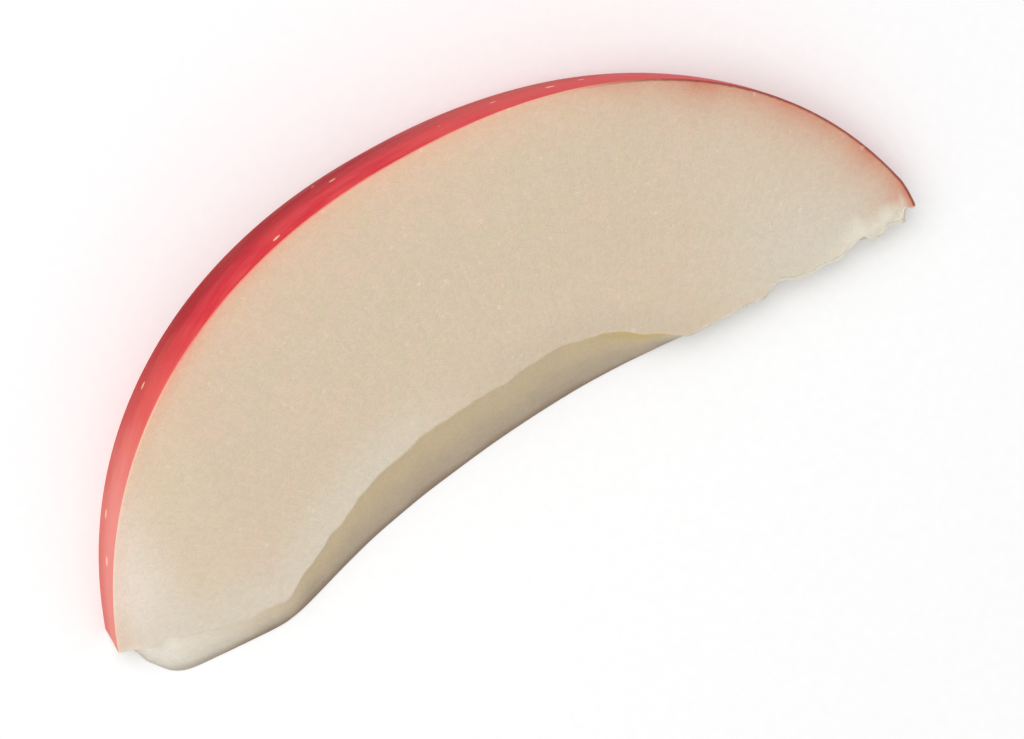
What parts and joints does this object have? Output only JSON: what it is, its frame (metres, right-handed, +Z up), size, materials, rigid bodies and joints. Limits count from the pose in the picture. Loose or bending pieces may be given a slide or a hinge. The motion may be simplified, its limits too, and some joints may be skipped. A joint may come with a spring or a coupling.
{
  "type": "apple wedge",
  "caption": "Thin wedge of red-skinned apple, cut from pole to pole with its core scooped out, lying on one cut face.",
  "frame": {"origin": "middle of the base of the wedge's box, on the surface it lies on", "axes": "+X along the fruit's core line towards the wedge's ragged end, +Y from the core out to the skin, +Z up out of the resting cut face"},
  "size_m": [0.0746, 0.03, 0.0094],
  "materials": {
    "flesh": "moist pale cream flesh with a fine grain; the curved outer face has a thin glossy red skin"
  },
  "bodies": {
    "root": {"apple_wedge": "flesh"}
  },
  "joints": []
}
